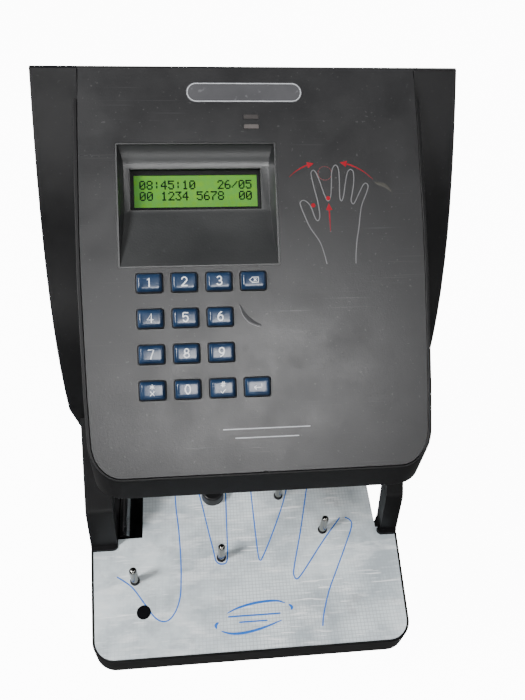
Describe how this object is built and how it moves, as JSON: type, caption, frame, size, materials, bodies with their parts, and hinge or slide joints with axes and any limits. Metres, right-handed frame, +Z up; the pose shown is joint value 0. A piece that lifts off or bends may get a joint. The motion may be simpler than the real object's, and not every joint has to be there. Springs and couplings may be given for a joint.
{
  "type": "hand geometry terminal",
  "caption": "Wall-mounted hand-geometry access terminal: sloped head with keypad and display over an open platen with finger pins, hinged on a wall plate.",
  "frame": {"origin": "centre of the four wall bolts, on the wall face of the wall plate", "axes": "+X to the right seen from the front, +Y into the wall, +Z up"},
  "size_m": [0.223, 0.217, 0.296],
  "materials": {
    "wall_steel": "satin",
    "pin_steel": "polished",
    "shell": "textured",
    "panel": "fine textured",
    "base": "textured",
    "cover": "satin",
    "platen": "satin with a printed surface",
    "black_part": "satin",
    "rubber_part": "matt",
    "mirror_face": "polished",
    "dark_filter": "polished",
    "lens_glass": "polished",
    "clear_plastic": "polished",
    "board": "glossy",
    "lcd": "glossy",
    "lamp": "satin",
    "plate_blank": "satin",
    "chip": "matt",
    "jack_metal": "satin",
    "block_green": "satin",
    "cell": "glossy",
    "key_blue": "glossy",
    "lock_metal": "polished",
    "screw_metal": "satin",
    "housing_charcoal": "textured"
  },
  "bodies": {
    "wall_mount": {"wall_plate": "wall_steel", "hinge_pins": "pin_steel"},
    "terminal": {"rear_shell": "shell", "head_shell": "shell", "front_panel": "panel", "base_tray": "base", "rear_box": "base", "left_leg": "base", "right_arm": "base", "base_cover": "housing_charcoal", "back_cover": "cover", "platen_plate": "platen", "finger_pins": "pin_steel", "pin_grommets": "rubber_part", "finger_post": "black_part", "mirror_holder": "black_part", "mirror_glass": "mirror_face", "camera_window": "dark_filter", "camera_barrel": "black_part", "camera_lens": "lens_glass", "camera_board": "board", "light_board": "board", "light_leds": "clear_plastic", "display_bezel": "black_part", "display_window": "clear_plastic", "display_glass": "lcd", "display_frame": "black_part", "display_board": "board", "keypad_mat": "rubber_part", "keypad_board": "board", "status_light_upper": "lamp", "status_light_lower": "lamp", "name_plate": "plate_blank", "main_board": "board", "board_posts": "screw_metal", "board_chips": "chip", "ethernet_jack": "jack_metal", "power_jack": "black_part", "terminal_blocks": "block_green", "battery": "cell", "beeper": "black_part", "hinge_sleeves": "cover", "lock_housing": "lock_metal", "case_screws": "screw_metal"},
    "lock": {"lock_plug": "lock_metal", "lock_cam": "screw_metal"},
    "key_1_body": {"key_1": "key_blue"},
    "key_2_body": {"key_2": "key_blue"},
    "key_3_body": {"key_3": "key_blue"},
    "key_clear_body": {"key_clear": "key_blue"},
    "key_4_body": {"key_4": "key_blue"},
    "key_5_body": {"key_5": "key_blue"},
    "key_6_body": {"key_6": "key_blue"},
    "key_7_body": {"key_7": "key_blue"},
    "key_8_body": {"key_8": "key_blue"},
    "key_9_body": {"key_9": "key_blue"},
    "key_star_body": {"key_star": "key_blue"},
    "key_0_body": {"key_0": "key_blue"},
    "key_hash_body": {"key_hash": "key_blue"},
    "key_enter_body": {"key_enter": "key_blue"}
  },
  "joints": [
    {"name": "terminal_hinge", "type": "hinge", "parent": "wall_mount", "child": "terminal", "pos_m": [0, -0.008, -0.145], "axis": [1, 0, 0], "range_deg": [0, 90]},
    {"name": "lock_turn", "type": "hinge", "parent": "terminal", "child": "lock", "pos_m": [0.0975, -0.021, 0.09812], "axis": [1, 0, 0], "range_deg": [0, 70]},
    {"name": "key_1_press", "type": "slide", "parent": "terminal", "child": "key_1_body", "axis": [0, 0.5736, -0.8192], "range_m": [0, 0.0015], "stiffness_N_per_m": 400, "springref_m": -0.0004},
    {"name": "key_2_press", "type": "slide", "parent": "terminal", "child": "key_2_body", "axis": [0, 0.5736, -0.8192], "range_m": [0, 0.0015], "stiffness_N_per_m": 400, "springref_m": -0.0004},
    {"name": "key_3_press", "type": "slide", "parent": "terminal", "child": "key_3_body", "axis": [0, 0.5736, -0.8192], "range_m": [0, 0.0015], "stiffness_N_per_m": 400, "springref_m": -0.0004},
    {"name": "key_clear_press", "type": "slide", "parent": "terminal", "child": "key_clear_body", "axis": [0, 0.5736, -0.8192], "range_m": [0, 0.0015], "stiffness_N_per_m": 400, "springref_m": -0.0004},
    {"name": "key_4_press", "type": "slide", "parent": "terminal", "child": "key_4_body", "axis": [0, 0.5736, -0.8192], "range_m": [0, 0.0015], "stiffness_N_per_m": 400, "springref_m": -0.0004},
    {"name": "key_5_press", "type": "slide", "parent": "terminal", "child": "key_5_body", "axis": [0, 0.5736, -0.8192], "range_m": [0, 0.0015], "stiffness_N_per_m": 400, "springref_m": -0.0004},
    {"name": "key_6_press", "type": "slide", "parent": "terminal", "child": "key_6_body", "axis": [0, 0.5736, -0.8192], "range_m": [0, 0.0015], "stiffness_N_per_m": 400, "springref_m": -0.0004},
    {"name": "key_7_press", "type": "slide", "parent": "terminal", "child": "key_7_body", "axis": [0, 0.5736, -0.8192], "range_m": [0, 0.0015], "stiffness_N_per_m": 400, "springref_m": -0.0004},
    {"name": "key_8_press", "type": "slide", "parent": "terminal", "child": "key_8_body", "axis": [0, 0.5736, -0.8192], "range_m": [0, 0.0015], "stiffness_N_per_m": 400, "springref_m": -0.0004},
    {"name": "key_9_press", "type": "slide", "parent": "terminal", "child": "key_9_body", "axis": [0, 0.5736, -0.8192], "range_m": [0, 0.0015], "stiffness_N_per_m": 400, "springref_m": -0.0004},
    {"name": "key_star_press", "type": "slide", "parent": "terminal", "child": "key_star_body", "axis": [0, 0.5736, -0.8192], "range_m": [0, 0.0015], "stiffness_N_per_m": 400, "springref_m": -0.0004},
    {"name": "key_0_press", "type": "slide", "parent": "terminal", "child": "key_0_body", "axis": [0, 0.5736, -0.8192], "range_m": [0, 0.0015], "stiffness_N_per_m": 400, "springref_m": -0.0004},
    {"name": "key_hash_press", "type": "slide", "parent": "terminal", "child": "key_hash_body", "axis": [0, 0.5736, -0.8192], "range_m": [0, 0.0015], "stiffness_N_per_m": 400, "springref_m": -0.0004},
    {"name": "key_enter_press", "type": "slide", "parent": "terminal", "child": "key_enter_body", "axis": [0, 0.5736, -0.8192], "range_m": [0, 0.0015], "stiffness_N_per_m": 400, "springref_m": -0.0004}
  ]
}
